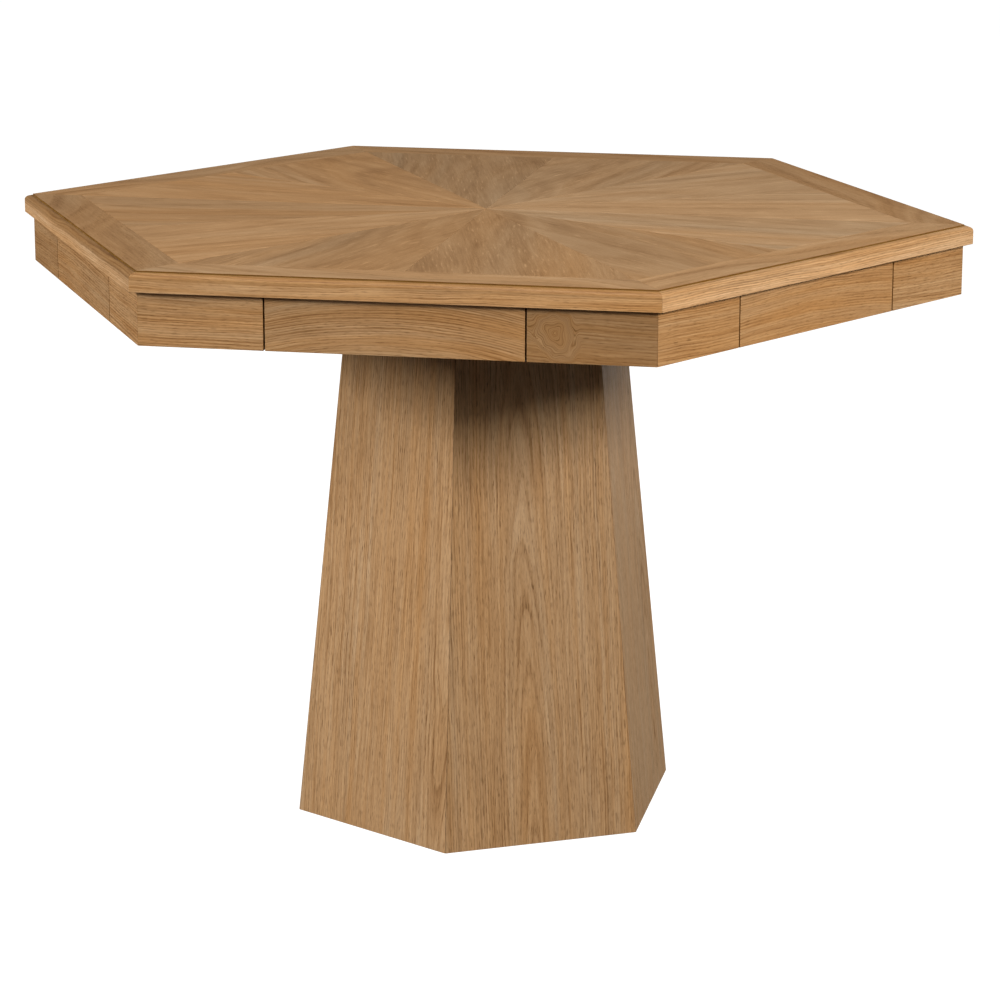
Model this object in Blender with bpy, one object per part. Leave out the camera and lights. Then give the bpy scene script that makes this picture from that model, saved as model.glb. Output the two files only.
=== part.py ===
"""Hexagonal gaming table: a veneered top with a moulded edge, an apron that holds six drawers, and
a tapered hexagonal pedestal.

Metres, +Z up, the origin on the floor under the middle of the table. Seen from above, the top has a
corner on +X. Sides 1 to 6 run anticlockwise from the side that faces -Y, and corner N lies between
side N and the next side. A piece that repeats is modelled once, for side 1 or for a corner on +X,
and its copies share that mesh and are turned about +Z.
"""

import math

import bmesh
import bpy
from mathutils import Matrix, Vector

# Driving dimensions
SIDES = 6
TABLE_HEIGHT = 0.762
TOUCH = 0.0003  # gap between two pieces that are glued or rest on each other

FLAT_TOP_RADIUS = 0.593  # centre to corner of the flat top, inside the moulding
TOP_THICKNESS = 0.0236

MOULDING_WIDTH = 0.0095
MOULDING_STEP = 0.0018  # the moulding starts this far below the flat top
MOULDING_LEDGE = 0.0012
OVOLO_HEIGHT = 0.0060
OVOLO_STEPS = 8
MOULDING_ARRIS = 0.0013
ARRIS_STEPS = 3

APRON_RADIUS = 0.592
APRON_HEIGHT = 0.0625
APRON_THICKNESS = 0.019

FRONT_WIDTH = 0.296
FRONT_SIDE_GAP = 0.002
FRONT_TOP_GAP = 0.0015

DRAWER_WIDTH = 0.273  # outside the drawer's sides
DRAWER_DEPTH = 0.236  # behind the front
DRAWER_WOOD = 0.012
DRAWER_TOP_CLEARANCE = 0.0044
DRAWER_BOTTOM_THICKNESS = 0.005
DRAWER_BOTTOM_LIFT = 0.0057  # from a side's lower edge up to the bottom board
GROOVE_DEPTH = 0.006
HOUSING_DEPTH = 0.006  # how far a side is let into the front

GUIDE_THICKNESS = 0.018
GUIDE_SIDE_CLEARANCE = 0.0015
GUIDE_LIFT = 0.003  # above the apron's lower edge
LEDGE_WIDTH = 0.012
LEDGE_THICKNESS = 0.007
STOP_NOSE = 0.262  # centre to the blunt inner end of a guide

PEDESTAL_FOOT_RADIUS = 0.2515
PEDESTAL_NECK_RADIUS = 0.1795  # at the height of the apron's lower edge
PEDESTAL_WOOD = 0.018
MOUNTING_PLATE_RADIUS = 0.225
MOUNTING_PLATE_THICKNESS = 0.012

# Dimensions that follow
STEP_ANGLE = 2 * math.pi / SIDES
HALF_ANGLE = math.pi / SIDES
TOP_UNDERSIDE = TABLE_HEIGHT - TOP_THICKNESS
JOINERY_TOP = TOP_UNDERSIDE - TOUCH
APRON_BOTTOM = TOP_UNDERSIDE - APRON_HEIGHT
APRON_FACE = APRON_RADIUS * math.cos(HALF_ANGLE)  # centre to the apron's outer face
APRON_BACK = APRON_FACE - APRON_THICKNESS
FIXED_BOARD = APRON_RADIUS / 2 - FRONT_WIDTH / 2 - FRONT_SIDE_GAP  # length of the fixed apron
GUIDE_OFFSET = DRAWER_WIDTH / 2 + GUIDE_SIDE_CLEARANCE  # a drawer's centre line to its guides
LEDGE_BOTTOM = APRON_BOTTOM + GUIDE_LIFT
LEDGE_TOP = LEDGE_BOTTOM + LEDGE_THICKNESS
DRAWER_LOW = LEDGE_TOP + TOUCH
DRAWER_HIGH = TOP_UNDERSIDE - DRAWER_TOP_CLEARANCE
BOTTOM_LOW = DRAWER_LOW + DRAWER_BOTTOM_LIFT
BOTTOM_HIGH = BOTTOM_LOW + DRAWER_BOTTOM_THICKNESS
STOP_FACE = APRON_BACK - DRAWER_DEPTH - 2 * TOUCH  # centre to the face that stops a drawer
PEDESTAL_SLOPE = (PEDESTAL_FOOT_RADIUS - PEDESTAL_NECK_RADIUS) / APRON_BOTTOM
PEDESTAL_PANEL_TOP = JOINERY_TOP - MOUNTING_PLATE_THICKNESS - TOUCH

# Colours are linear red, green and blue
OAK = ("natural_oak", (0.434, 0.242, 0.104), 0.42)
OAK_MOULDING = ("solid_oak_edge", (0.479, 0.278, 0.125), 0.38)
DRAWER_OAK = ("drawer_oak", (0.418, 0.231, 0.095), 0.42)
PALE_WOOD = ("drawer_box_wood", (0.571, 0.402, 0.223), 0.55)
PLYWOOD = ("plywood", (0.520, 0.352, 0.188), 0.60)


def clear_scene():
    """Removes every object that the file starts with."""
    for thing in list(bpy.data.objects):
        bpy.data.objects.remove(thing, do_unlink=True)


def wood(kind):
    """A new Principled material for one node, from (name, colour, roughness)."""
    name, colour, roughness = kind
    material = bpy.data.materials.new(name)
    material.use_nodes = True
    shader = material.node_tree.nodes["Principled BSDF"]
    shader.inputs["Base Color"].default_value = (*colour, 1.0)
    shader.inputs["Roughness"].default_value = roughness
    shader.inputs["Metallic"].default_value = 0.0
    material.diffuse_color = (*colour, 1.0)
    return material


def mesh_of(bm, name):
    """Turns a bmesh into a mesh with its faces pointing out."""
    bmesh.ops.recalc_face_normals(bm, faces=bm.faces)
    mesh = bpy.data.meshes.new(name)
    bm.to_mesh(mesh)
    bm.free()
    return mesh


def place(name, mesh, kind, angle=0.0, parent=None):
    """One named node that shows the mesh, turned about +Z unless a parent places it."""
    node = bpy.data.objects.new(name, mesh)
    node.rotation_euler.z = angle
    node.parent = parent
    bpy.context.scene.collection.objects.link(node)
    if not mesh.materials:
        mesh.materials.append(None)
    node.material_slots[0].link = "OBJECT"
    node.material_slots[0].material = wood(kind)
    return node


def side_angle(number):
    """Turns a piece modelled for side 1 to that side."""
    return (number - 1) * STEP_ANGLE


def bridge(bm, low, high):
    """A closed body between two rings with the same number of points."""
    lower = [bm.verts.new(point) for point in low]
    upper = [bm.verts.new(point) for point in high]
    bm.faces.new(reversed(lower))
    bm.faces.new(upper)
    for i in range(len(lower)):
        j = (i + 1) % len(lower)
        bm.faces.new((lower[i], lower[j], upper[j], upper[i]))


def prism(outline, low, high):
    """A flat outline of (x, y) points, carried from one height to another."""
    bm = bmesh.new()
    bridge(bm, [(x, y, low) for x, y in outline], [(x, y, high) for x, y in outline])
    return bm


def block(x_range, y_range, z_range):
    """A rectangular block from three (low, high) pairs."""
    (x0, x1), (y0, y1), (z0, z1) = x_range, y_range, z_range
    return prism([(x0, y0), (x1, y0), (x1, y1), (x0, y1)], z0, z1)


def mitred_strip(section):
    """A strip along side 1 with mitred ends. The section's points are (distance out, height)."""
    bm = bmesh.new()
    ends = []
    for hand in (-1, 1):
        ring = []
        for out, height in section:
            half_length = out * math.tan(HALF_ANGLE) - TOUCH / (2 * math.cos(HALF_ANGLE))
            ring.append((hand * half_length, -out, height))
        ends.append(ring)
    bridge(bm, *ends)
    return bm


def hexagon(radius, height, first_angle):
    """The corners of a regular hexagon."""
    angles = [first_angle + k * STEP_ANGLE for k in range(SIDES)]
    return [(radius * math.cos(a), radius * math.sin(a), height) for a in angles]


def cut(mesh, *cutters):
    """The mesh with each cutter's bmesh taken out of it by an exact Boolean."""
    body = bpy.data.objects.new("cut_body", mesh)
    bpy.context.scene.collection.objects.link(body)
    tools = []
    for cutter in cutters:
        tool = bpy.data.objects.new("cutter", mesh_of(cutter, "cutter"))
        bpy.context.scene.collection.objects.link(tool)
        modifier = body.modifiers.new("cut", "BOOLEAN")
        modifier.operation = "DIFFERENCE"
        modifier.solver = "EXACT"
        modifier.object = tool
        tools.append(tool)
    graph = bpy.context.evaluated_depsgraph_get()
    result = bpy.data.meshes.new_from_object(body.evaluated_get(graph))
    result.name = mesh.name
    for thing in (body, *tools):
        bpy.data.objects.remove(thing, do_unlink=True)
    return result


def moulding_section():
    """Step, ledge, ovolo, upright face and a small arris, from the panel's edge outwards."""
    panel_edge = FLAT_TOP_RADIUS * math.cos(HALF_ANGLE)
    face = panel_edge + MOULDING_WIDTH
    ledge = TABLE_HEIGHT - MOULDING_STEP
    ovolo_width = MOULDING_WIDTH - MOULDING_LEDGE
    points = [(panel_edge, TOP_UNDERSIDE), (face - MOULDING_ARRIS, TOP_UNDERSIDE)]
    for i in range(1, ARRIS_STEPS + 1):
        turn = math.pi / 2 * i / ARRIS_STEPS
        out = face - MOULDING_ARRIS + MOULDING_ARRIS * math.sin(turn)
        points.append((out, TOP_UNDERSIDE + MOULDING_ARRIS * (1 - math.cos(turn))))
    for i in range(OVOLO_STEPS + 1):
        turn = math.pi / 2 * i / OVOLO_STEPS
        out = face - ovolo_width * (1 - math.cos(turn))
        points.append((out, ledge - OVOLO_HEIGHT * (1 - math.sin(turn))))
    points.append((panel_edge, ledge))
    return points


def build_top():
    """The veneered panel and the solid moulding glued round it."""
    panel_radius = FLAT_TOP_RADIUS - TOUCH / math.cos(HALF_ANGLE)
    bm = bmesh.new()
    bridge(bm, hexagon(panel_radius, TOP_UNDERSIDE, 0), hexagon(panel_radius, TABLE_HEIGHT, 0))
    place("top_panel", mesh_of(bm, "top_panel"), OAK)
    mesh = mesh_of(mitred_strip(moulding_section()), "edge_moulding")
    for number in range(1, SIDES + 1):
        place(f"edge_moulding_{number}", mesh, OAK_MOULDING, side_angle(number))


def mirrored(points):
    """A closed outline from its half on and above the X axis, and that half's mirror image."""
    return points + [(x, -y) for x, y in reversed(points) if y > 0]


def corner_point(across, along):
    """A point of a corner on +X, by its distance across and along the next drawer's centre line."""
    axis = Vector((math.cos(HALF_ANGLE), math.sin(HALF_ANGLE)))
    to_corner = Vector((math.sin(HALF_ANGLE), -math.cos(HALF_ANGLE)))
    return tuple(to_corner * across + axis * along)


def corner_turn(number):
    """Turns a piece modelled for a corner on +X to that corner."""
    return side_angle(number) - STEP_ANGLE


def build_apron():
    """The fixed apron at each corner: two boards mitred together."""
    across_end = APRON_RADIUS / 2 - FIXED_BOARD
    outline = mirrored([
        (APRON_RADIUS, 0.0),
        corner_point(across_end, APRON_FACE),
        corner_point(across_end, APRON_BACK),
        (APRON_BACK / math.cos(HALF_ANGLE), 0.0),
    ])
    mesh = mesh_of(prism(outline, APRON_BOTTOM, JOINERY_TOP), "apron_corner")
    for number in range(1, SIDES + 1):
        place(f"apron_corner_{number}", mesh, OAK, corner_turn(number))


def build_guides():
    """A pair of runners that meet in a blunt nose, between two drawers.

    The blank is as wide as the ledges. Each drawer's channel is then cut out of it above the
    ledge, as far in as the face that the drawer's side stops against.
    """
    inner = GUIDE_OFFSET - LEDGE_WIDTH
    outer = GUIDE_OFFSET + GUIDE_THICKNESS
    end = APRON_BACK - TOUCH
    nose_along = (STOP_NOSE - inner * math.sin(HALF_ANGLE)) / math.cos(HALF_ANGLE)
    outline = mirrored([
        (outer / math.sin(HALF_ANGLE), 0.0),
        corner_point(outer, end),
        corner_point(inner, end),
        corner_point(inner, nose_along),
    ])
    blank = mesh_of(prism(outline, LEDGE_BOTTOM, JOINERY_TOP), "drawer_guide")
    channels = []
    for hand in (-1, 1):
        channel = block((STOP_FACE, APRON_FACE), (-GUIDE_OFFSET, GUIDE_OFFSET),
                        (LEDGE_TOP, TABLE_HEIGHT))
        turn = Matrix.Rotation(hand * HALF_ANGLE, 4, "Z")
        bmesh.ops.transform(channel, matrix=turn, verts=channel.verts)
        channels.append(channel)
    mesh = cut(blank, *channels)
    for number in range(1, SIDES + 1):
        place(f"drawer_guide_{number}", mesh, PLYWOOD, corner_turn(number))


def drawer_front_mesh():
    """The front, housed at the back for the sides and the bottom.

    It hangs below the rest of the drawer, so that fingers can hook behind its lower edge.
    """
    half = FRONT_WIDTH / 2
    top = TOP_UNDERSIDE - FRONT_TOP_GAP
    blank = mesh_of(block((-half, half), (0, APRON_THICKNESS), (APRON_BOTTOM, top)), "drawer_front")
    back = (APRON_THICKNESS - HOUSING_DEPTH, APRON_THICKNESS + HOUSING_DEPTH)
    outer = DRAWER_WIDTH / 2 + TOUCH
    inner = DRAWER_WIDTH / 2 - DRAWER_WOOD - TOUCH
    heights = (DRAWER_LOW - TOUCH, DRAWER_HIGH + TOUCH)
    housings = [block(x_range, back, heights) for x_range in ((-outer, -inner), (inner, outer))]
    groove = block((-inner - TOUCH, inner + TOUCH), back,
                   (BOTTOM_LOW - TOUCH, BOTTOM_HIGH + TOUCH))
    return cut(blank, *housings, groove)


def drawer_side_mesh(hand):
    """A side, grooved for the bottom. The hand is -1 for the left side and 1 for the right."""
    outer = DRAWER_WIDTH / 2
    inner = outer - DRAWER_WOOD
    start = APRON_THICKNESS - HOUSING_DEPTH + TOUCH
    end = APRON_THICKNESS + DRAWER_DEPTH
    low, high = BOTTOM_LOW - TOUCH, BOTTOM_HIGH + TOUCH
    floor = inner + GROOVE_DEPTH
    section = [
        (outer, DRAWER_LOW), (outer, DRAWER_HIGH), (inner, DRAWER_HIGH), (inner, high),
        (floor, high), (floor, low), (inner, low), (inner, DRAWER_LOW),
    ]
    bm = bmesh.new()
    bridge(bm, *[[(hand * x, y, z) for x, z in section] for y in (start, end)])
    return mesh_of(bm, "drawer_side")


def drawer_back_mesh():
    """The back, between the sides and on top of the bottom board."""
    half = DRAWER_WIDTH / 2 - DRAWER_WOOD - TOUCH
    end = APRON_THICKNESS + DRAWER_DEPTH
    return mesh_of(
        block((-half, half), (end - DRAWER_WOOD, end), (BOTTOM_HIGH + TOUCH, DRAWER_HIGH)),
        "drawer_back",
    )


def drawer_bottom_mesh():
    """The bottom board, let into the front and the sides."""
    half = DRAWER_WIDTH / 2 - DRAWER_WOOD + GROOVE_DEPTH - TOUCH
    shoulder = DRAWER_WIDTH / 2 - DRAWER_WOOD - 2 * TOUCH
    start = APRON_THICKNESS - HOUSING_DEPTH + TOUCH
    back_of_front = APRON_THICKNESS + TOUCH
    end = APRON_THICKNESS + DRAWER_DEPTH
    outline = [
        (-shoulder, start), (shoulder, start), (shoulder, back_of_front), (half, back_of_front),
        (half, end), (-half, end), (-half, back_of_front), (-shoulder, back_of_front),
    ]
    return mesh_of(prism(outline, BOTTOM_LOW, BOTTOM_HIGH), "drawer_bottom")


def build_drawers():
    """Six drawers. An empty on each slide's axis, at the middle of the front, carries its pieces."""
    parts = [
        ("front", drawer_front_mesh(), DRAWER_OAK),
        ("left_side", drawer_side_mesh(-1), PALE_WOOD),
        ("right_side", drawer_side_mesh(1), PALE_WOOD),
        ("back", drawer_back_mesh(), PALE_WOOD),
        ("bottom", drawer_bottom_mesh(), PLYWOOD),
    ]
    for number in range(1, SIDES + 1):
        angle = side_angle(number)
        slide = bpy.data.objects.new(f"drawer_{number}_slide", None)
        slide.location = Matrix.Rotation(angle, 3, "Z") @ Vector((0, -APRON_FACE, 0))
        slide.rotation_euler.z = angle
        bpy.context.scene.collection.objects.link(slide)
        for part, mesh, kind in parts:
            place(f"drawer_{number}_{part}", mesh, kind, parent=slide)


def pedestal_radius(height):
    """Centre to corner of the pedestal's outside at a height."""
    return PEDESTAL_FOOT_RADIUS - PEDESTAL_SLOPE * height


def pedestal_wall():
    """A leaning panel's thickness, measured level."""
    lean = math.atan(PEDESTAL_SLOPE * math.cos(HALF_ANGLE))
    return PEDESTAL_WOOD / math.cos(lean)


def pedestal_plate(name, low, high):
    """A hexagonal plate that fits inside the pedestal's panels."""
    inset = (pedestal_wall() + 2 * TOUCH) / math.cos(HALF_ANGLE)
    rings = [hexagon(pedestal_radius(z) - inset, z, HALF_ANGLE) for z in (low, high)]
    bm = bmesh.new()
    bridge(bm, *rings)
    place(name, mesh_of(bm, name), PLYWOOD)


def build_pedestal():
    """Six mitred panels, a plate in the head and the foot, and the plate that holds the top.

    The pedestal's corners point at the middles of the top's sides.
    """
    wall = pedestal_wall()
    foot = PEDESTAL_FOOT_RADIUS * math.cos(HALF_ANGLE)
    head = pedestal_radius(PEDESTAL_PANEL_TOP) * math.cos(HALF_ANGLE)
    section = [
        (foot - wall, 0.0), (foot, 0.0), (head, PEDESTAL_PANEL_TOP),
        (head - wall, PEDESTAL_PANEL_TOP),
    ]
    mesh = mesh_of(mitred_strip(section), "pedestal_panel")
    for number in range(1, SIDES + 1):
        place(f"pedestal_panel_{number}", mesh, OAK, side_angle(number) + HALF_ANGLE)
    pedestal_plate("pedestal_base_plate", 0.0, PEDESTAL_WOOD)
    pedestal_plate("pedestal_top_plate", PEDESTAL_PANEL_TOP - PEDESTAL_WOOD, PEDESTAL_PANEL_TOP)
    bm = bmesh.new()
    heights = (JOINERY_TOP - MOUNTING_PLATE_THICKNESS, JOINERY_TOP)
    bridge(bm, *[hexagon(MOUNTING_PLATE_RADIUS, z, HALF_ANGLE) for z in heights])
    place("mounting_plate", mesh_of(bm, "mounting_plate"), PLYWOOD)


clear_scene()
build_top()
build_apron()
build_guides()
build_drawers()
build_pedestal()
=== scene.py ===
"""Looks of the hexagonal gaming table: every piece of wood as its own detailed mesh, in oak.

The table's sides 1 to 6 run anticlockwise from the side that faces -Y, and corner N lies between
side N and the next. A piece is modelled for side 1, which faces -Y, and then turned to its side.
"""

import math
import random

import bmesh
import bpy
from mathutils import Matrix, Vector


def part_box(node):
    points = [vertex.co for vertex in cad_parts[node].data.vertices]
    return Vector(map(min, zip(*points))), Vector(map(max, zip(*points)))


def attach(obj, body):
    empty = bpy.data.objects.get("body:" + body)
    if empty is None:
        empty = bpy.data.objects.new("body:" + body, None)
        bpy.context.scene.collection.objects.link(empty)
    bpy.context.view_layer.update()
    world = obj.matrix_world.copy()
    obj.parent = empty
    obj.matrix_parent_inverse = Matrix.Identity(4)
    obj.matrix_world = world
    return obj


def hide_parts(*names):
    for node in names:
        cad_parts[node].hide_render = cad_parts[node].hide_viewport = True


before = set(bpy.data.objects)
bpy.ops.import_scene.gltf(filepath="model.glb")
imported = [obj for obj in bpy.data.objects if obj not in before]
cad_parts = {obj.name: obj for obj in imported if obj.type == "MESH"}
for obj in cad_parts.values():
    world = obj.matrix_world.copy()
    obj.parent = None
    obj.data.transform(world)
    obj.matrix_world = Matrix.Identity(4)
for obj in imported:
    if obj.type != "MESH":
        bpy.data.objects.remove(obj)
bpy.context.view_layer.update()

SIDES = 6
STEP_ANGLE = 2 * math.pi / SIDES
HALF_ANGLE = math.pi / SIDES
SIDE_OF_HALF = math.tan(HALF_ANGLE)
JOINT = 0.00008  # half the width of a glued joint that shows
ARRIS = 0.0005  # sanded edge of a board
ARRIS_STEPS = 2
EASED_ANGLE = math.radians(25)  # an edge that turns by more than this is eased
SHARP = math.radians(38)
NEAR = 0.0001  # a point this near to a face counts as on it
UP = Vector((0, 0, 1))
OUT = Vector((0, -1, 0))  # away from the table, on side 1
ALONG = Vector((1, 0, 0))  # along side 1

# ---------------------------------------------------------------- places taken from the frame

top_low, top_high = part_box("top_panel")
TOP_HEIGHT = top_high.z
TOP_UNDERSIDE = top_low.z
PANEL_FLAT = top_high.y  # centre to the middle of the panel's edge
mould_low, mould_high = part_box("edge_moulding_1")
MOULD_FLAT = -mould_low.y
MOULD_HEIGHT = mould_high.z
corner_low, corner_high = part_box("apron_corner_2")
APRON_FLAT = corner_high.x * math.cos(HALF_ANGLE)
APRON_LOW = corner_low.z
APRON_HIGH = corner_high.z
front_low, front_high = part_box("drawer_1_front")
APRON_BACK = -front_high.y
FRONT_HALF = front_high.x
FRONT_GAP = 0.002


# ---------------------------------------------------------------- oak

def maths(tree, operation, a, b=None, c=None, clamp=False):
    """A Math node; each of a, b and c is a socket or a number."""
    made = tree.nodes.new("ShaderNodeMath")
    made.operation = operation
    made.use_clamp = clamp
    for i, value in enumerate((a, b, c)):
        if value is None:
            continue
        if isinstance(value, bpy.types.NodeSocket):
            tree.links.new(value, made.inputs[i])
        else:
            made.inputs[i].default_value = value
    return made.outputs[0]


def vector(tree, x, y, z):
    """A vector from three sockets or numbers."""
    made = tree.nodes.new("ShaderNodeCombineXYZ")
    for i, value in enumerate((x, y, z)):
        if isinstance(value, bpy.types.NodeSocket):
            tree.links.new(value, made.inputs[i])
        else:
            made.inputs[i].default_value = value
    return made.outputs[0]


def noise(tree, place, detail=2.0, roughness=0.5):
    """Noise from 0 to 1 at a place that is already scaled."""
    made = tree.nodes.new("ShaderNodeTexNoise")
    made.inputs["Scale"].default_value = 1.0
    made.inputs["Detail"].default_value = detail
    made.inputs["Roughness"].default_value = roughness
    tree.links.new(place, made.inputs["Vector"])
    return made.outputs[0]


def smooth_step(tree, value, low, high):
    """0 below low, 1 above high, smooth between."""
    made = tree.nodes.new("ShaderNodeMapRange")
    made.interpolation_type = "SMOOTHSTEP"
    made.inputs["From Min"].default_value = low
    made.inputs["From Max"].default_value = high
    tree.links.new(value, made.inputs["Value"])
    return made.outputs[0]


BOARD_STEP = 3.0  # boards lie this far apart in the noise, in metres along the grain
DEPTH_SCALE = 9.0  # how fast every mark changes with depth in the wood, per metre
RIPPLE = 0.0045  # how far small waves push the fibres sideways, in metres
RING_UNEVENNESS = (0.45, 1.8)  # how often the ring width changes, and by how many rings
LATE_WOOD = (0.5, 0.88)  # a ring's dark part fades out until here, and starts again from here
BAND_STRENGTH = (2.0, -0.4)  # contrast and offset of the patches where rings show
PORE_ROWS = (0.6, 0.4)  # share of the pores that lie in the dark part, and share anywhere
# The noise behind the figure: waves per metre along and across the grain, a shift to another part
# of the noise, and its detail
WAVES = {
    "wander": (2.2, 6.0, 0.0, 2.0),
    "ripple": (13.0, 60.0, 3.0, 2.0),
    "rise": (2.4, 0.0, 9.0, 1.0),
    "strength": (7.0, 30.0, 5.0, 2.0),
    "fine": (110.0, 1500.0, 1.0, 1.0),
    "coarse": (85.0, 800.0, 7.0, 1.0),
    "flowing": (5.0, 360.0, 2.0, 2.0),
    "straight": (14.0, 420.0, 8.0, 2.0),
    "growth": (0.8, 95.0, 3.0, 2.0),
    "broad": (1.3, 48.0, 8.0, 2.0),
    "flecks": (28.0, 330.0, 4.0, 1.0),
    "clouds": (2.6, 13.0, 6.0, 2.0),
}
FIBRE_ROUGHNESS = 0.7  # of the streaks' noise
PORE_EDGES = (0.54, 0.66)  # where the noise turns into a pore, a dash or a fleck
DASH_EDGES = (0.53, 0.68)
FLECK_EDGES = (0.60, 0.78)
FIGURE_INPUTS = ("Ring", "Heart", "Taper", "Arch", "Wander")
FIGURE_MARKS = ("Band", "Growth", "Pores", "Dashes", "Streaks", "Broad", "Flecks", "Clouds")


def oak_figure():
    """Node group: wood coordinates in metres (along, across, depth) to the marks of oak.

    Year rings are shells round the log's heart. Where the board's face passes close to the heart
    they show as arches, and further off as straight lines. Fibres and pores follow the rings.
    """
    tree = bpy.data.node_groups.new("oak_figure", "ShaderNodeTree")
    face = tree.interface
    face.new_socket("Wood", in_out="INPUT", socket_type="NodeSocketVector")
    for name in FIGURE_INPUTS:
        face.new_socket(name, in_out="INPUT", socket_type="NodeSocketFloat")
    for name in FIGURE_MARKS:
        face.new_socket(name, in_out="OUTPUT", socket_type="NodeSocketFloat")
    start = tree.nodes.new("NodeGroupInput")
    end = tree.nodes.new("NodeGroupOutput")
    split = tree.nodes.new("ShaderNodeSeparateXYZ")
    tree.links.new(start.outputs["Wood"], split.inputs[0])
    along, across, depth = split.outputs

    def waves(kind, side=across, roughness=0.5):
        """One of the figure's noises; side is the distance across, straight or in bent grain."""
        u, v, shift, detail = WAVES[kind]
        place = vector(tree, maths(tree, "MULTIPLY_ADD", along, u, shift),
                       maths(tree, "MULTIPLY", side, v), maths(tree, "MULTIPLY", depth, DEPTH_SCALE))
        return noise(tree, place, detail, roughness)

    def centred(value, middle=0.5):
        """The same value, positive above its middle and negative below it."""
        return maths(tree, "SUBTRACT", value, middle)

    wander = centred(waves("wander"))
    shifted = maths(tree, "MULTIPLY_ADD", wander, start.outputs["Wander"], across)
    ripple = centred(waves("ripple"))
    shifted = maths(tree, "MULTIPLY_ADD", ripple, RIPPLE, shifted)
    place = maths(tree, "WRAP", along, BOARD_STEP / 2, -BOARD_STEP / 2)
    rise = centred(waves("rise"))
    heart = maths(tree, "MULTIPLY_ADD", rise, start.outputs["Arch"], start.outputs["Heart"])
    heart = maths(tree, "MULTIPLY_ADD", place, start.outputs["Taper"], heart)
    heart = maths(tree, "ADD", heart, depth)
    square = maths(tree, "MULTIPLY", shifted, shifted)
    radius = maths(tree, "SQRT", maths(tree, "MULTIPLY_ADD", heart, heart, square))
    rings = maths(tree, "DIVIDE", radius, start.outputs["Ring"])
    often, far = RING_UNEVENNESS
    uneven = noise(tree, vector(tree, maths(tree, "MULTIPLY", rings, often), 0.0, 0.0), 2.0)
    rings = maths(tree, "MULTIPLY_ADD", uneven, far, rings)
    phase = maths(tree, "FRACT", rings)
    fades_until, starts_from = LATE_WOOD
    fall = smooth_step(tree, phase, 0.0, fades_until)
    rise_edge = smooth_step(tree, phase, starts_from, 1.0)
    band = maths(tree, "ADD", maths(tree, "SUBTRACT", 1.0, fall), rise_edge, clamp=True)
    strength = maths(tree, "MULTIPLY_ADD", waves("strength"), *BAND_STRENGTH, clamp=True)
    band = maths(tree, "MULTIPLY", band, strength)

    rows = maths(tree, "MULTIPLY_ADD", band, *PORE_ROWS)
    fine = smooth_step(tree, waves("fine", shifted), *PORE_EDGES)
    coarse = smooth_step(tree, waves("coarse", shifted), *DASH_EDGES)
    flowing = waves("flowing", radius, FIBRE_ROUGHNESS)
    straight = waves("straight", shifted, FIBRE_ROUGHNESS)
    marks = {
        "Band": band,
        "Growth": centred(waves("growth", radius)),
        "Pores": maths(tree, "MULTIPLY", fine, rows),
        "Dashes": maths(tree, "MULTIPLY", coarse, rows),
        "Streaks": centred(maths(tree, "ADD", flowing, straight), 1.0),
        "Broad": centred(waves("broad")),
        "Flecks": smooth_step(tree, waves("flecks"), *FLECK_EDGES),
        "Clouds": centred(waves("clouds")),
    }
    for name, socket in marks.items():
        tree.links.new(socket, end.inputs[name])
    return tree


OAK_FIGURE = oak_figure()


def mix_colour(tree, factor, a, b, kind="MIX"):
    """A colour Mix node; factor, a and b are sockets or values."""
    made = tree.nodes.new("ShaderNodeMix")
    made.data_type = "RGBA"
    made.blend_type = kind
    for socket, value in ((made.inputs[0], factor), (made.inputs[6], a), (made.inputs[7], b)):
        if isinstance(value, bpy.types.NodeSocket):
            tree.links.new(value, socket)
        elif isinstance(value, tuple):
            socket.default_value = (*value, 1.0)
        else:
            socket.default_value = value
    return made.outputs[2]


def scaled(colour, amount):
    """A colour made lighter or darker, with no part over 1."""
    return tuple(min(1.0, c * amount) for c in colour)


DARK_GRAIN = (0.60, 0.53, 0.45)  # shares of the wood's own red, green and blue
LIGHT_GRAIN = (1.30, 1.42, 1.60)
PORE_DARKNESS = 0.62  # share of the dark grain's colour
FLECK_LIGHTNESS = 1.25  # share of the light grain's colour
BAND_BALANCE = -0.3  # takes off what the dark bands add on average
PLY_EDGES = (0.46, 0.54)  # where one ply goes over into the next, in a pair of plies
PLY_CONTRAST = 0.7
GROWTH_WARMTH = 3.5
WARM_RED, WARM_BLUE = 0.06, -0.10  # what one step of warmth does to red and blue
BAND_DULLNESS, PORE_DULLNESS = 0.08, 0.25  # added to the roughness
BAND_HOLLOW, PORE_HOLLOW = -0.3, -1.0  # depths, as shares of the relief's height
RELIEF_HEIGHT = 0.00025
COAT_ROUGHNESS = 0.3
WOOD_SPECULAR = 0.35
MARK_GAIN = 2.0  # what a mark of strength 1 does to the shade


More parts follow.
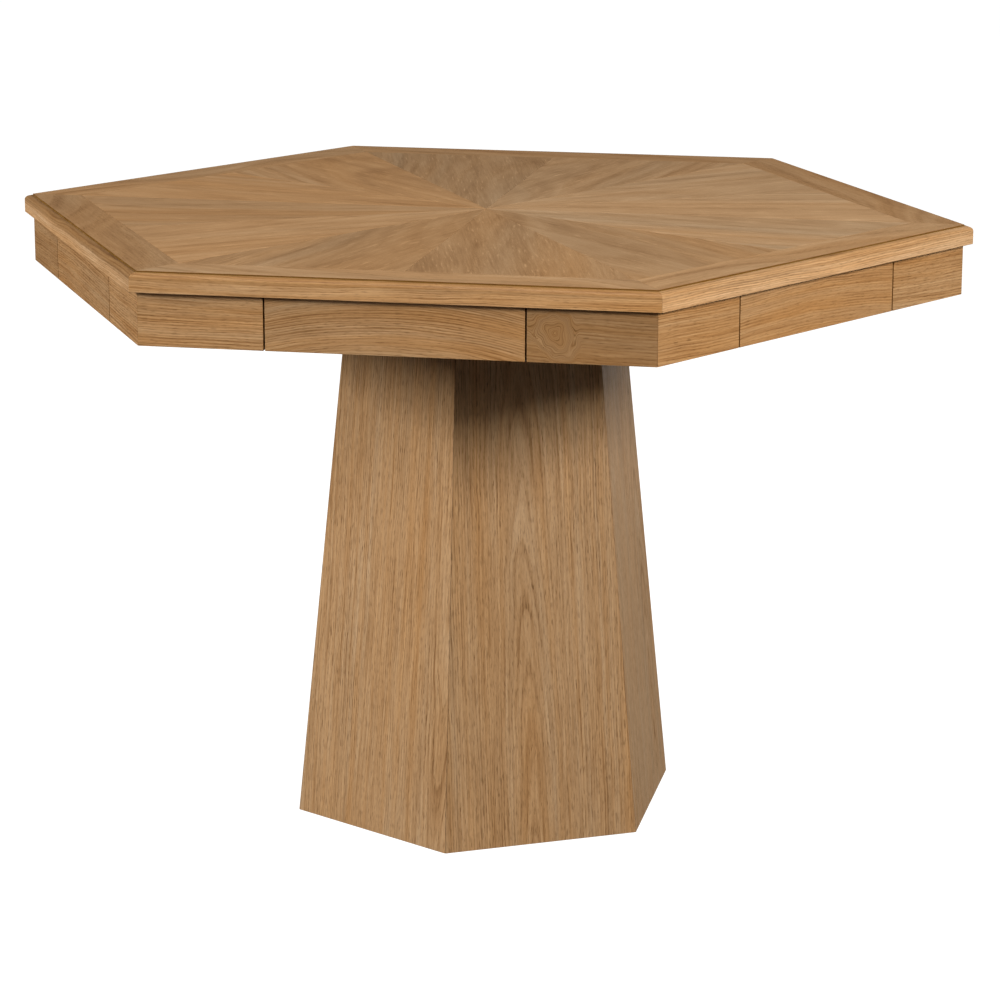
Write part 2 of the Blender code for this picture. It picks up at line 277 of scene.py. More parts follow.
def oak(name, base, ring=0.005, heart=0.05, taper=0.03, arch=0.03, wander=0.02, band=0.5,
        growth=0.5, streak=1.0, broad=0.3, cloud=0.5, pore=0.3, dash=0.4, fleck=0.0, plies=0.0,
        hue=4.0, rough=0.42, coat=0.1, relief=0.25):
    """A wood. The mesh's wood attribute gives the place in the board, and its tint attribute the
    board's own lightness, warmth and strength of grain, with the real stain and the painted shade of
    each place added into its lightness and warmth.

    Ring is a year ring's width and heart the distance from the log's heart to the board's face, in
    metres. Taper, arch and wander bend the rings. Band to fleck are the strengths of the marks,
    plies is a ply's thickness, and hue is how far the colour drifts from patch to patch.
    """
    material = bpy.data.materials.new(name)
    material.use_nodes = True
    tree = material.node_tree
    shader = tree.nodes["Principled BSDF"]
    wood = tree.nodes.new("ShaderNodeAttribute")
    wood.attribute_name = "wood"
    tint = tree.nodes.new("ShaderNodeAttribute")
    tint.attribute_name = "tint"
    parts = tree.nodes.new("ShaderNodeSeparateXYZ")
    tree.links.new(tint.outputs["Vector"], parts.inputs[0])
    lightness, warmth, force = parts.outputs
    figure = tree.nodes.new("ShaderNodeGroup")
    figure.node_tree = OAK_FIGURE
    tree.links.new(wood.outputs["Vector"], figure.inputs["Wood"])
    for socket, value in zip(FIGURE_INPUTS, (ring, heart, taper, arch, wander)):
        figure.inputs[socket].default_value = value
    marks = figure.outputs

    shade = maths(tree, "MULTIPLY", marks["Band"], band)
    shade = maths(tree, "ADD", shade, BAND_BALANCE * band)
    for mark, amount in (("Growth", MARK_GAIN * growth), ("Streaks", MARK_GAIN * streak),
                         ("Broad", MARK_GAIN * broad), ("Clouds", cloud)):
        shade = maths(tree, "MULTIPLY_ADD", marks[mark], amount, shade)
    if plies:
        place = tree.nodes.new("ShaderNodeSeparateXYZ")
        tree.links.new(wood.outputs["Vector"], place.inputs[0])
        layer = maths(tree, "FRACT", maths(tree, "DIVIDE", place.outputs[2], 2 * plies))
        layer = smooth_step(tree, layer, *PLY_EDGES)
        shade = maths(tree, "ADD", shade, -PLY_CONTRAST / 2)
        shade = maths(tree, "MULTIPLY_ADD", layer, PLY_CONTRAST, shade)
    shade = maths(tree, "MULTIPLY", shade, force)
    darker = maths(tree, "MULTIPLY", shade, 1.0, clamp=True)
    lighter = maths(tree, "MULTIPLY", shade, -1.0, clamp=True)
    dark = tuple(c * f for c, f in zip(base, DARK_GRAIN))
    light = tuple(c * f for c, f in zip(base, LIGHT_GRAIN))
    colour = mix_colour(tree, darker, base, dark)
    colour = mix_colour(tree, lighter, colour, light)
    holes = maths(tree, "MULTIPLY", marks["Pores"], pore)
    holes = maths(tree, "MULTIPLY_ADD", marks["Dashes"], dash, holes)
    holes = maths(tree, "MULTIPLY", holes, force, clamp=True)
    colour = mix_colour(tree, holes, colour, scaled(dark, PORE_DARKNESS))
    colour = mix_colour(tree, maths(tree, "MULTIPLY", marks["Flecks"], fleck), colour,
                        scaled(light, FLECK_LIGHTNESS))
    warmth = maths(tree, "MULTIPLY_ADD", marks["Growth"], GROWTH_WARMTH, warmth)
    warmth = maths(tree, "MULTIPLY_ADD", marks["Clouds"], hue, warmth)
    red, blue = (
        maths(tree, "MULTIPLY", lightness, maths(tree, "MULTIPLY_ADD", warmth, change, 1.0))
        for change in (WARM_RED, WARM_BLUE)
    )
    colour = mix_colour(tree, 1.0, colour, vector(tree, red, lightness, blue), "MULTIPLY")
    tree.links.new(colour, shader.inputs["Base Color"])

    dull = maths(tree, "MULTIPLY_ADD", marks["Band"], BAND_DULLNESS, rough)
    dull = maths(tree, "MULTIPLY_ADD", holes, PORE_DULLNESS, dull)
    tree.links.new(dull, shader.inputs["Roughness"])
    hollow = maths(tree, "MULTIPLY", holes, PORE_HOLLOW)
    hollow = maths(tree, "MULTIPLY_ADD", marks["Band"], BAND_HOLLOW, hollow)
    lift = tree.nodes.new("ShaderNodeBump")
    lift.inputs["Strength"].default_value = relief
    lift.inputs["Distance"].default_value = RELIEF_HEIGHT
    tree.links.new(hollow, lift.inputs["Height"])
    tree.links.new(lift.outputs[0], shader.inputs["Normal"])
    shader.inputs["Coat Weight"].default_value = coat
    shader.inputs["Coat Roughness"].default_value = COAT_ROUGHNESS
    shader.inputs["Specular IOR Level"].default_value = WOOD_SPECULAR
    return material


HONEY = (0.474, 0.263, 0.115)
HONEY_UPRIGHT = (0.485, 0.280, 0.132)
PALE = (0.560, 0.395, 0.220)
RAW = (0.500, 0.345, 0.190)
WOODS = {
    "top_veneer": oak("oak_top", HONEY, ring=0.004, heart=0.05, taper=0.018, arch=0.012,
                      wander=0.008, band=0.30, growth=0.10, streak=0.85, broad=0.60,
                      cloud=0.25, pore=0.3, dash=0.2, fleck=0.50, hue=1.0, relief=0.08),
    "top_border": oak("oak_border", HONEY, ring=0.005, heart=0.09, wander=0.012, band=0.45,
                      growth=0.3, streak=1.0, broad=0.4, cloud=0.1, pore=0.3, dash=0.5,
                      hue=1.0, relief=0.08),
    "edge_moulding": oak("oak_moulding", scaled(HONEY_UPRIGHT, 1.1), ring=0.0027, heart=0.07,
                         taper=0.02, wander=0.024, band=1.0, growth=0.5, streak=1.0, broad=0.2,
                         cloud=0.6, dash=0.5, rough=0.48, coat=0.05),
    "apron_veneer": oak("oak_apron", HONEY, ring=0.0027, heart=0.07, taper=0.04,
                        wander=0.024, band=1.0, growth=0.5, streak=1.0, broad=0.2, cloud=0.6,
                        dash=0.6),
    "drawer_front": oak("oak_drawer_front", HONEY, ring=0.0027, heart=0.07, taper=0.03,
                        wander=0.020, band=1.0, growth=0.5, streak=1.0, broad=0.2, cloud=0.6,
                        dash=0.6),
    "pedestal_veneer": oak("oak_pedestal", HONEY_UPRIGHT, ring=0.0032, heart=0.018, taper=0.030,
                           arch=0.02, wander=0.010, band=0.70, growth=0.30, streak=1.0,
                           broad=0.15, pore=0.5, dash=0.75, hue=2.0, rough=0.46, coat=0.0),
    "drawer_box": oak("pale_wood", PALE, ring=0.007, taper=0.05, band=0.25, growth=0.2,
                      streak=0.5, broad=0.2, cloud=0.4, pore=0.05, dash=0.08, rough=0.5,
                      coat=0.0),
    "drawer_bottom": oak("thin_ply", scaled(PALE, 1.02), ring=0.014, heart=0.03, taper=0.1,
                         arch=0.08, wander=0.03, band=0.3, growth=0.3, streak=0.4, broad=0.2,
                         cloud=0.4, pore=0.05, dash=0.05, plies=0.0012, rough=0.55, coat=0.0),
    "guide_wood": oak("hardwood", RAW, ring=0.006, heart=0.06, band=0.3, growth=0.3, streak=0.6,
                      broad=0.2, cloud=0.4, pore=0.15, dash=0.15, rough=0.6, coat=0.0),
    "plywood": oak("plywood", RAW, ring=0.014, heart=0.03, taper=0.1, arch=0.08, wander=0.03,
                   band=0.3, growth=0.3, streak=0.5, broad=0.3, pore=0.1, dash=0.12,
                   plies=0.0015, rough=0.62, coat=0.0),
}


# ---------------------------------------------------------------- making a piece

def loft(rings):
    """A closed body through rings that all have the same number of points."""
    bm = bmesh.new()
    rows = [[bm.verts.new(point) for point in ring] for ring in rings]
    bm.faces.new(reversed(rows[0]))
    bm.faces.new(rows[-1])
    for lower, upper in zip(rows, rows[1:]):
        for i in range(len(lower)):
            j = (i + 1) % len(lower)
            bm.faces.new((lower[i], lower[j], upper[j], upper[i]))
    bmesh.ops.recalc_face_normals(bm, faces=bm.faces)
    return bm


def prism(outline, low, high):
    """A flat outline of (x, y) points, carried from one height to another."""
    return loft([[(x, y, z) for x, y in outline] for z in (low, high)])


def mitred_strip(section):
    """A strip along side 1 with mitred ends. The section's points are (distance out, height)."""
    return loft([[(hand * (out * SIDE_OF_HALF - JOINT), -out, z) for out, z in section]
                 for hand in (-1, 1)])


CORNER_STEPS = 4
RING_SPREAD = 0.0001  # keeps the rings of a rounded corner apart where they aren't rounded


def rounded_strip(section, radius):
    """A mitred strip whose outer corners are rounded over with the next strip's."""
    centre = max(out for out, z in section) - radius
    rings = []
    for hand, order in ((-1, range(CORNER_STEPS, -1, -1)), (1, range(CORNER_STEPS + 1))):
        for i in order:
            turn = HALF_ANGLE * i / CORNER_STEPS
            ring = []
            for out, z in section:
                beyond = out - centre
                along = out * SIDE_OF_HALF - (CORNER_STEPS - i) * RING_SPREAD
                if beyond > 0:
                    along = centre * SIDE_OF_HALF + beyond * math.sin(turn)
                    out = centre + beyond * math.cos(turn)
                ring.append((hand * (along - JOINT), -out, z))
            rings.append(ring)
    return loft(rings)


SAME_PLACE = 1e-6  # points closer than this are one
SAME_PLANE = math.radians(0.3)  # faces that turn by less than this are one


def from_node(name, angle=0.0):
    """A CAD piece's shape as clean flat faces, turned back to side 1."""
    bm = bmesh.new()
    bm.from_mesh(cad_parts[name].data)
    bmesh.ops.remove_doubles(bm, verts=bm.verts, dist=SAME_PLACE)
    bmesh.ops.dissolve_limit(bm, angle_limit=SAME_PLANE, verts=bm.verts, edges=bm.edges)
    bm.transform(Matrix.Rotation(-angle, 4, "Z"))
    return bm


def ease_edges(bm, width=ARRIS, steps=ARRIS_STEPS):
    """Rounds every clear edge of a body."""
    bmesh.ops.recalc_face_normals(bm, faces=bm.faces)
    edges = [e for e in bm.edges if e.is_manifold and e.calc_face_angle() > EASED_ANGLE]
    bmesh.ops.bevel(bm, geom=edges, offset=width, offset_type="OFFSET", segments=steps,
                    profile=0.5, affect="EDGES", clamp_overlap=True)
    return bm


def slice_at(bm, axis, distance):
    """Adds a row of points where a plane square to an axis crosses a body."""
    bmesh.ops.bisect_plane(bm, geom=bm.verts[:] + bm.edges[:] + bm.faces[:],
                           plane_co=axis * distance, plane_no=axis)


def slice_along(bm, axis, low, high, count):
    """Cuts a body into even slices, so that its grain can vary along an axis."""
    for i in range(1, count):
        slice_at(bm, axis, low + (high - low) * i / count)


def grain_axes(along, face, origin=(0, 0, 0)):
    """Wood coordinates with the grain along a direction, and depth into the wood from a face."""
    u = Vector(along).normalized()
    v = Vector(face).cross(u).normalized()
    return Matrix((u, v, u.cross(v))), Vector(origin)


def eased(value):
    """0 below 0, 1 above 1, smooth between."""
    value = min(1.0, max(0.0, value))
    return value * value * (3 - 2 * value)


EYE_STRETCH = 1.2  # length of a swirl's rings to their width
EYE_PACKING = 2.3  # how much closer its rings lie than the board's
EYE_LOBES = ((2, 1, 0.18), (3, 2, 0.09))  # a ring's lobes: how many, where they start, how big
EYE_EDGE = (0.9, 1.5)  # the swirl fades out between these shares of its reach
EYE_DENT = 0.0018  # size in metres of the rings' small dents
EYE_DENTS = (330, 270)  # how fast the dents come and go along and across


def eye(centre, reach):
    """A swirl: inside a reach the grain closes in rings round a place (along, across)."""
    full, gone = EYE_EDGE

    def field(u, v):
        du, dv = (u - centre[0]) / EYE_STRETCH, v - centre[1]
        turn = math.atan2(dv, du)
        wobble = 1 + sum(size * math.sin(lobes * turn + start) for lobes, start, size in EYE_LOBES)
        radius = math.hypot(du, dv) * wobble
        radius += EYE_DENT * math.sin(EYE_DENTS[0] * u + 2) * math.cos(EYE_DENTS[1] * v)
        inside = eased((gone - radius / reach) / (gone - full))
        return (centre[1] + EYE_PACKING * (radius - reach) - v) * inside, 0.0
    return field


def bow(rise, reach):
    """Grain that runs in a shallow arc, which rises by this much over its reach."""
    def field(u, v):
        return rise * (u / reach) ** 2, 0.0
    return field


ACROSS_SPREAD = 0.012  # how far a board may lie from its stated place in the log, in metres
DEPTH_SPREAD = 0.004


def piece(name, bm, body, slot, grain, nodes=(), angle=0.0, tint=(1.0, 0.0, 1.0), seed=0,
          look=None, across=0.0, field=None, stain_and_shade=None):
    """One finished piece: its grain, its tint, its place, and the CAD nodes that it stands for.

    The tint is the board's lightness, warmth and strength of grain. The seed and across move it
    in the log that it was sawn from. The field bends its grain. The last argument gives each place
    on it a lightness and a warmth: the real stain on the moulding's ovolo, and painted shade in the
    step above the moulding and in the gaps beside the drawers.
    """
    bmesh.ops.recalc_face_normals(bm, faces=bm.faces)
    mesh = bpy.data.meshes.new(name)
    bm.to_mesh(mesh)
    bm.free()
    axes, origin = grain
    rng = random.Random(seed)
    shift = Vector((BOARD_STEP * (1 + seed), across + rng.uniform(-ACROSS_SPREAD, ACROSS_SPREAD),
                    rng.uniform(-DEPTH_SPREAD, DEPTH_SPREAD)))
    wood = mesh.attributes.new("wood", "FLOAT_VECTOR", "POINT")
    shade = mesh.attributes.new("tint", "FLOAT_VECTOR", "POINT")
    for vertex in mesh.vertices:
        place = axes @ (vertex.co - origin)
        if field:
            place += Vector((0, *field(place.x, place.y)))
        wood.data[vertex.index].vector = place + shift
        light, warm = stain_and_shade(vertex.co) if stain_and_shade else (1.0, 0.0)
        shade.data[vertex.index].vector = (tint[0] * light, tint[1] + warm, tint[2])
    mesh.transform(Matrix.Rotation(angle, 4, "Z"))
    mesh.shade_smooth()
    mesh.set_sharp_from_angle(angle=SHARP)
    mesh.materials.append(WOODS[look or slot])
    made = bpy.data.objects.new(name, mesh)
    bpy.context.scene.collection.objects.link(made)
    weighted = made.modifiers.new("normals", "WEIGHTED_NORMAL")
    weighted.keep_sharp = True
    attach(made, body)
    if nodes:
        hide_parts(*nodes)


def side_angle(number):
    """The turn that brings a piece modelled for side 1 to that side."""
    return (number - 1) * STEP_ANGLE


def polar(radius, angle):
    """A point or direction in the level plane, from its distance and its angle from +X."""
    return Vector((radius * math.cos(angle), radius * math.sin(angle), 0))


# ---------------------------------------------------------------- the top

LEAVES = 12
LEAF_ANGLE = 2 * math.pi / LEAVES
VENEER_THICKNESS = 0.0007
VENEER_LIFT = 0.00003  # glue line
BORDER_WIDTH = 0.057
VENEER_ARRIS = 0.0003
BARE = (1.0, 0.0)
STEP_SHADE = (0.30, 6.0)  # painted shade: the lightness and warmth that darken the step above the moulding, where shade falls
STEP_DROPS = (0.001, 0.002)  # where the core is cut, below the step, to hold the painted shade's edge
BAND_SHADE_EDGE = 0.0008  # where a band is cut, in from its outer edge, for the same

# Lightness and warmth of each leaf and border band, anticlockwise: leaves from +X, bands from -Y
LEAF_TINTS = [(1.20, -1.1), (1.15, -1.0), (1.01, -0.7), (0.85, -0.4), (0.97, 0.4), (1.01, 0.4),
              (0.94, 0.4), (1.04, 0.3), (0.88, 0.4), (0.87, 0.4), (0.91, 0.0), (1.15, -1.0)]
BAND_TINTS = [(1.06, -0.8), (1.07, -0.3), (0.90, 0.3), (0.90, 0.2), (0.95, 0.2), (0.80, 0.2)]
LEAF_ACROSS = (0.09, 0.06, -0.07)  # how far a leaf was sliced from the log's middle
TURN_INSIDE = 1e-6  # a turn that keeps a leaf's corner on its own side of the hexagon


def hexagon_reach(flat, angle):
    """Centre to the edge of a hexagon with a corner on +X, in a direction."""
    return flat / math.cos((angle % STEP_ANGLE) - HALF_ANGLE)


def build_top():
    """Core board, twelve radial leaves, six border bands."""
    core_top = TOP_HEIGHT - VENEER_THICKNESS - VENEER_LIFT
    reach = (PANEL_FLAT - JOINT) / math.cos(HALF_ANGLE)
    corners = [polar(reach, k * STEP_ANGLE) for k in range(SIDES)]
    core = ease_edges(prism([(p.x, p.y) for p in corners], TOP_UNDERSIDE, core_top), JOINT, 1)
    # painted shade: the core's rim above the moulding is darkened in the step
    for drop in STEP_DROPS:
        slice_at(core, UP, MOULD_HEIGHT - drop)
    piece("top_core", core, "table", "plywood", grain_axes(ALONG, UP), nodes=["top_panel"], seed=1,
          stain_and_shade=lambda p: STEP_SHADE if p.z > MOULD_HEIGHT - sum(STEP_DROPS) / 2 else BARE)

    field = PANEL_FLAT - BORDER_WIDTH - JOINT
    for i in range(LEAVES):
        start, end = i * LEAF_ANGLE, (i + 1) * LEAF_ANGLE
        middle = (start + end) / 2
        points = [polar(JOINT / math.sin(LEAF_ANGLE / 2), middle)]
        for angle, hand in ((start, 1), (end, -1)):
            corner = polar(hexagon_reach(field, angle + hand * TURN_INSIDE), angle)
            points.append(corner + polar(JOINT, angle + hand * math.pi / 2))
        leaf = prism([(p.x, p.y) for p in points], core_top + VENEER_LIFT, TOP_HEIGHT)
        ease_edges(leaf, VENEER_ARRIS / 2, 1)
        piece(f"veneer_leaf_{i + 1}", leaf, "table", "top_veneer",
              grain_axes(polar(1, middle), UP), nodes=["top_panel"], tint=(*LEAF_TINTS[i], 1.0),
              seed=20 + i, across=LEAF_ACROSS[i % len(LEAF_ACROSS)])

    section = [(field + 2 * JOINT, core_top + VENEER_LIFT), (PANEL_FLAT, core_top + VENEER_LIFT),
               (PANEL_FLAT, TOP_HEIGHT), (field + 2 * JOINT, TOP_HEIGHT)]
    for k in range(SIDES):
        band = ease_edges(mitred_strip(section), VENEER_ARRIS, 2)
        # painted shade: the band's outer edge is darkened where it drops into the step
        slice_at(band, OUT, PANEL_FLAT - BAND_SHADE_EDGE)
        piece(f"border_band_{k + 1}", band, "table", "top_veneer",
              grain_axes(ALONG, UP, OUT * PANEL_FLAT), nodes=["top_panel"],
              angle=side_angle(k + 1), tint=(*BAND_TINTS[k], 1.0), seed=40 + k, look="top_border",
              across=0.08,
              stain_and_shade=lambda p: STEP_SHADE if -p.y > PANEL_FLAT - VENEER_ARRIS else BARE)


# ---------------------------------------------------------------- the moulding

MOULD_GAP = 0.0001
MOULD_LEDGE = 0.0012
OVOLO_HEIGHT = 0.0060
OVOLO_STEPS = 14
MOULD_ARRIS = 0.0007
MOULD_ARRIS_STEPS = 4
MOULD_CORNER = 0.0022
FACE_STEPS = 5
OVOLO_STAIN = {1: 0.66, 2: 0.72, 6: 0.50}  # the finish is darker on the ovolo than on the face
OTHER_OVOLO_STAIN = 0.7
STAIN_START = 1.7  # ovolo heights below the step where the stain starts; it is full one above
STAIN_WARMTH = 3
MOULD_GRAIN = grain_axes((1, 0, 0.012), (0, -0.8, 0.6), OUT * MOULD_FLAT + UP * TOP_HEIGHT)
MOULD_TINTS = [(0.93, 1.2), (1.17, 0.3), (1.0, 0.1), (1.0, 0.2), (1.0, 0.2), (0.90, 0.3)]


def quarter(steps):
    """Angles from 0 to a right angle."""
    return [math.pi / 2 * i / steps for i in range(steps + 1)]


def moulding_section():
    """Arris, upright face, ovolo and ledge, from the underside to the flat top."""
    inner = PANEL_FLAT + MOULD_GAP
    width = MOULD_FLAT - PANEL_FLAT - MOULD_LEDGE
    points = [(inner, TOP_UNDERSIDE)]
    for turn in quarter(MOULD_ARRIS_STEPS):
        points.append((MOULD_FLAT - MOULD_ARRIS * (1 - math.sin(turn)),
                       TOP_UNDERSIDE + MOULD_ARRIS * (1 - math.cos(turn))))
    face_low, face_high = TOP_UNDERSIDE + MOULD_ARRIS, MOULD_HEIGHT - OVOLO_HEIGHT
    for i in range(1, FACE_STEPS):
        points.append((MOULD_FLAT, face_low + (face_high - face_low) * i / FACE_STEPS))
    for turn in quarter(OVOLO_STEPS):
        points.append((MOULD_FLAT - width * (1 - math.cos(turn)),
                       MOULD_HEIGHT - OVOLO_HEIGHT * (1 - math.sin(turn))))
    points.append((inner, MOULD_HEIGHT))
    return points


def ovolo_stain(least):
    """Darker from high on the upright face up to the step."""
    def stain_and_shade(place):
        above = eased((place.z - MOULD_HEIGHT) / OVOLO_HEIGHT + STAIN_START)
        return 1 - (1 - least) * above, STAIN_WARMTH * (1 - least) * above
    return stain_and_shade


def build_mouldings():
    """Six strips of solid oak round the top."""
    for k in range(1, SIDES + 1):
        strip = rounded_strip(moulding_section(), MOULD_CORNER)
        piece(f"moulding_{k}", strip, "table", "edge_moulding", MOULD_GRAIN,
              nodes=[f"edge_moulding_{k}"], angle=side_angle(k), tint=(*MOULD_TINTS[k - 1], 1.0),
              seed=60 + k, across=0.11, stain_and_shade=ovolo_stain(OVOLO_STAIN.get(k, OTHER_OVOLO_STAIN)))


# ---------------------------------------------------------------- apron and drawers

APRON_MIDDLE = (APRON_LOW + APRON_HIGH) / 2
# Lightness, warmth and strength of grain of the boards and fronts that aren't plain
APRON_TINTS = {"1_left": (1.02, 0.5, 1.2), "1_right": (0.69, 1.0, 1.0),
               "2_left": (0.91, 1.3, 1.0), "2_right": (0.90, 1.3, 1.3),
               "6_left": (0.62, 1.3, 1.4), "6_right": (0.80, 1.5, 1.6)}
FRONT_TINTS = {1: (0.93, 0.7, 1.1), 2: (0.92, 1.2, 1.0), 6: (0.73, 1.2, 1.5)}
PLAIN = (1.0, 0.15, 1.0)
FRONT_BOW = {1: 0.016}  # how far the grain of a drawer front bends
OTHER_BOW = 0.005
FRONT_SLICES = 24
SWIRL_BOARD = "1_right"
SWIRL_PLACE = (0.032, 0.003)  # from the board's end at the drawer, and above its middle
SWIRL_REACH = 0.019
SWIRL_SLICES = (72, 30)  # along the board and up it
GAP_SHADE = (0.35, 4.0)  # painted shade: darkens the ends of the boards and fronts in the gap beside a drawer, where shade falls
BOX_ARRIS = 0.0015
BOTTOM_ARRIS = 0.0002
FRONT_GRAIN = grain_axes(ALONG, OUT, OUT * APRON_FLAT + UP * APRON_MIDDLE)


def build_apron():
    """Two boards on every side, beside the drawer front, mitred at the corners."""
    near = FRONT_HALF + FRONT_GAP
    swirl = eye((near + SWIRL_PLACE[0], SWIRL_PLACE[1]), SWIRL_REACH)
    for k in range(1, SIDES + 1):
        for hand, end in ((-1, "left"), (1, "right")):
            far, back = (face * SIDE_OF_HALF - JOINT for face in (APRON_FLAT, APRON_BACK))
            outline = [(hand * near, -APRON_FLAT), (hand * far, -APRON_FLAT),
                       (hand * back, -APRON_BACK), (hand * near, -APRON_BACK)]
            board = ease_edges(prism(outline, APRON_LOW, APRON_HIGH))
            key = f"{k}_{end}"
            swirled = key == SWIRL_BOARD
            if swirled:
                slice_along(board, ALONG, near, far, SWIRL_SLICES[0])
                slice_along(board, UP, APRON_LOW, APRON_HIGH, SWIRL_SLICES[1])
            corner = k if hand > 0 else (k - 2) % SIDES + 1
            # the board's end beside the drawer is darkened with painted shade
            piece(f"apron_board_{key}", board, "table", "apron_veneer", FRONT_GRAIN,
                  nodes=[f"apron_corner_{corner}"], angle=side_angle(k),
                  tint=APRON_TINTS.get(key, PLAIN), seed=80 + 2 * k + (hand > 0),
                  field=swirl if swirled else None, across=0.10,
                  stain_and_shade=lambda p: GAP_SHADE if abs(p.x) < near + NEAR else BARE)


def build_drawers():
    """Five pieces to a drawer; the front hangs below the box for the fingers."""
    parts = [
        ("front", "drawer_front", FRONT_GRAIN, ARRIS),
        ("left_side", "drawer_box", grain_axes((0, 1, 0), (1, 0, 0)), BOX_ARRIS),
        ("right_side", "drawer_box", grain_axes((0, 1, 0), (-1, 0, 0)), BOX_ARRIS),
        ("back", "drawer_box", grain_axes(ALONG, OUT, OUT * APRON_BACK), BOX_ARRIS),
        ("bottom", "drawer_bottom", grain_axes(ALONG, UP, OUT * APRON_BACK), BOTTOM_ARRIS),
    ]
    for k in range(1, SIDES + 1):
        for i, (part, slot, grain, round_off) in enumerate(parts):
            node = f"drawer_{k}_{part}"
            shape = ease_edges(from_node(node, side_angle(k)), round_off)
            looks = {}
            if part == "front":
                slice_along(shape, ALONG, -FRONT_HALF, FRONT_HALF, FRONT_SLICES)
                # the front's ends beside the gaps are darkened with painted shade
                looks = {"tint": FRONT_TINTS.get(k, PLAIN), "across": 0.10,
                         "field": bow(FRONT_BOW.get(k, OTHER_BOW), FRONT_HALF),
                         "stain_and_shade": lambda p: GAP_SHADE if abs(p.x) > FRONT_HALF - NEAR else BARE}
            piece(f"{node}_board", shape, f"drawer_{k}", slot, grain, nodes=[node],
                  angle=side_angle(k), seed=100 + 5 * k + i, **looks)


def build_guides():
    """Runners between the drawers, on which they slide."""
    for k in range(1, SIDES + 1):
        node = f"drawer_guide_{k}"
        turn = side_angle(k) + HALF_ANGLE
        shape = ease_edges(from_node(node, turn))
        piece(f"guide_{k}", shape, "table", "guide_wood", grain_axes(OUT, UP), nodes=[node],
              angle=turn, seed=140 + k)


# ---------------------------------------------------------------- the pedestal

PEDESTAL_TONE_AND_SHEEN = {1: (1.02, 0.1), 2: (0.98, -0.6), 6: (1.03, 0.2)}  # lightness and warmth of each panel's own tone; panel 2's cooler, greyer warmth is painted sheen, standing in for light glancing off that face
PEDESTAL_ACROSS = {6: 0.11, 2: 0.05}  # how far a panel was sawn from the log's middle


def build_pedestal():
    """Six mitred panels with upright grain, and the plates that tie them together."""
    for k in range(1, SIDES + 1):
        node = f"pedestal_panel_{k}"
        turn = side_angle(k) + HALF_ANGLE
        panel = from_node(node, turn)
        outer = max(panel.faces, key=lambda f: f.normal.dot(OUT) * f.calc_area())
        out = outer.normal.copy()
        foot = min((v.co.z, v.co.y) for v in outer.verts)[1]
        ease_edges(panel)
        piece(f"pedestal_board_{k}", panel, "table", "pedestal_veneer",
              grain_axes(out.cross(ALONG), out, (0, foot, 0)), nodes=[node], angle=turn,
              tint=(*PEDESTAL_TONE_AND_SHEEN.get(k, (1.0, 0.0)), 1.0), seed=150 + k,
              across=PEDESTAL_ACROSS.get(k, 0.0))
    for i, node in enumerate(("pedestal_base_plate", "pedestal_top_plate", "mounting_plate")):
        piece(f"{node}_board", ease_edges(from_node(node)), "table", "plywood",
              grain_axes(ALONG, UP), nodes=[node], seed=160 + i)


# ---------------------------------------------------------------- stage, light and camera

CAMERA_PLACE = (0.8456, -4.1417, 1.433)
CAMERA_TURN, CAMERA_DIP, CAMERA_ROLL = (math.radians(a) for a in (11.30, 13.89, 0.10))
FOCAL_LENGTH, SENSOR_WIDTH = 123.1, 36.0  # in millimetres
FLOOR_REACH = 30
FLOOR_DROP = 0.0005
SURROUND = 1.05  # strength of the white that the camera sees behind the table
AMBIENCE = 0.07  # strength of the light that comes from everywhere
SUBJECT = Vector((0, 0, 0.55))
# Name, bearing and elevation in degrees, size in metres, power in watts, distance, and whether the
# lamp mirrors in the wood. A low lamp doesn't: it would glare off the top in a view from behind.
LAMPS = (
    ("left_box", -165, 16, (1.4, 0.8), 132, 4.0, False),
    ("key_box", -50, 23, (1.0, 0.8), 96, 4.0, False),
    ("front_box", -100, 21, (1.2, 0.8), 18, 4.0, False),
    ("right_box", 10, 20, (1.0, 1.0), 40, 4.0, False),
    ("right_low_box", 25, 12, (1.0, 0.9), 20, 4.0, False),
    ("top_box", -90, 75, (2.5, 2.5), 60, 4.0, True),
    ("rim_box", 60, 0, (0.8, 0.6), 2.5, 2.5, True),
)


def softbox(name, bearing, elevation, size, power, distance, mirrored):
    """A rectangular lamp that faces the table."""
    light = bpy.data.lights.new(name, "AREA")
    light.shape = "RECTANGLE"
    light.size, light.size_y = size
    light.energy = power
    shown = bpy.data.objects.new(name, light)
    rise = math.radians(elevation)
    direction = polar(math.cos(rise), math.radians(bearing)) + UP * math.sin(rise)
    shown.location = SUBJECT + direction * distance
    shown.rotation_euler = direction.to_track_quat("Z", "Y").to_euler()
    shown.visible_camera = False
    shown.visible_glossy = mirrored
    bpy.context.scene.collection.objects.link(shown)


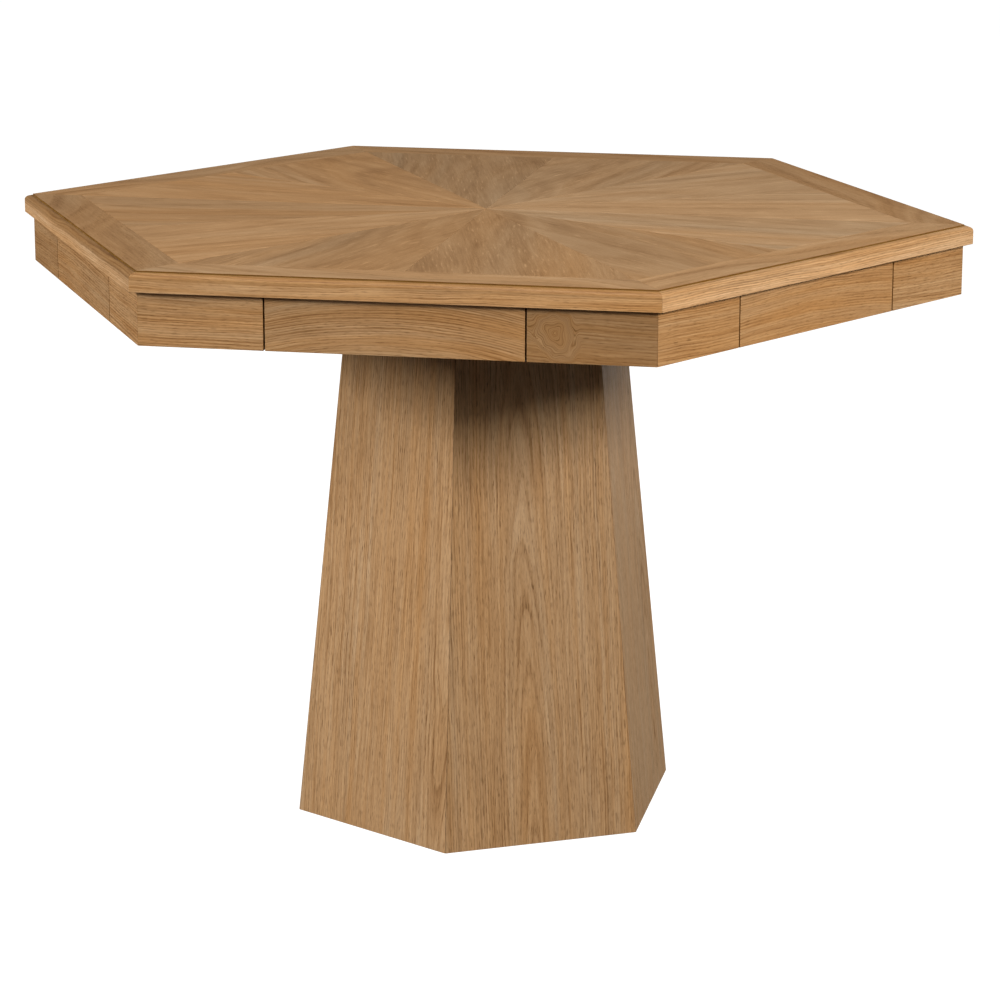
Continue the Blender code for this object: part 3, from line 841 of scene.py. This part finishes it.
def build_floor():
    """A plain white floor that sends no light back to the table."""
    bm = bmesh.new()
    bmesh.ops.create_grid(bm, x_segments=1, y_segments=1, size=FLOOR_REACH)
    mesh = bpy.data.meshes.new("floor")
    bm.to_mesh(mesh)
    bm.free()
    floor = bpy.data.objects.new("floor", mesh)
    floor.location.z = -FLOOR_DROP
    floor.visible_diffuse = False
    floor.visible_glossy = False
    bpy.context.scene.collection.objects.link(floor)
    paper = bpy.data.materials.new("floor_paper")
    paper.use_nodes = True
    shader = paper.node_tree.nodes["Principled BSDF"]
    shader.inputs["Base Color"].default_value = (0.3, 0.3, 0.3, 1)
    shader.inputs["Roughness"].default_value = 1.0
    shader.inputs["Specular IOR Level"].default_value = 0.0
    shader.inputs["Emission Color"].default_value = (1, 1, 1, 1)
    shader.inputs["Emission Strength"].default_value = 1.0
    mesh.materials.append(paper)


def build_surround():
    """A world that the camera sees as white, and that lights the table only faintly."""
    world = bpy.data.worlds.new("studio")
    world.use_nodes = True
    tree = world.node_tree
    dim = tree.nodes["Background"]
    dim.inputs["Color"].default_value = (1.0, 0.98, 0.95, 1)
    dim.inputs["Strength"].default_value = AMBIENCE
    white = tree.nodes.new("ShaderNodeBackground")
    white.inputs["Strength"].default_value = SURROUND
    seen = tree.nodes.new("ShaderNodeLightPath")
    both = tree.nodes.new("ShaderNodeMixShader")
    tree.links.new(seen.outputs["Is Camera Ray"], both.inputs[0])
    tree.links.new(dim.outputs[0], both.inputs[1])
    tree.links.new(white.outputs[0], both.inputs[2])
    tree.links.new(both.outputs[0], tree.nodes["World Output"].inputs["Surface"])
    bpy.context.scene.world = world


def build_camera():
    """The camera, at the viewing angle that the table is shown from."""
    scene = bpy.context.scene
    camera = bpy.data.cameras.new("camera")
    camera.lens = FOCAL_LENGTH
    camera.sensor_width = SENSOR_WIDTH
    camera.clip_end = 100
    shown = bpy.data.objects.new("camera", camera)
    shown.matrix_world = (
        Matrix.Translation(CAMERA_PLACE) @ Matrix.Rotation(CAMERA_TURN, 4, "Z")
        @ Matrix.Rotation(math.pi / 2 - CAMERA_DIP, 4, "X") @ Matrix.Rotation(CAMERA_ROLL, 4, "Z")
    )
    scene.collection.objects.link(shown)
    scene.camera = shown
    scene.view_settings.view_transform = "Standard"


build_floor()
build_surround()
for lamp in LAMPS:
    softbox(*lamp)
build_camera()
build_top()
build_mouldings()
build_apron()
build_drawers()
build_guides()
build_pedestal()
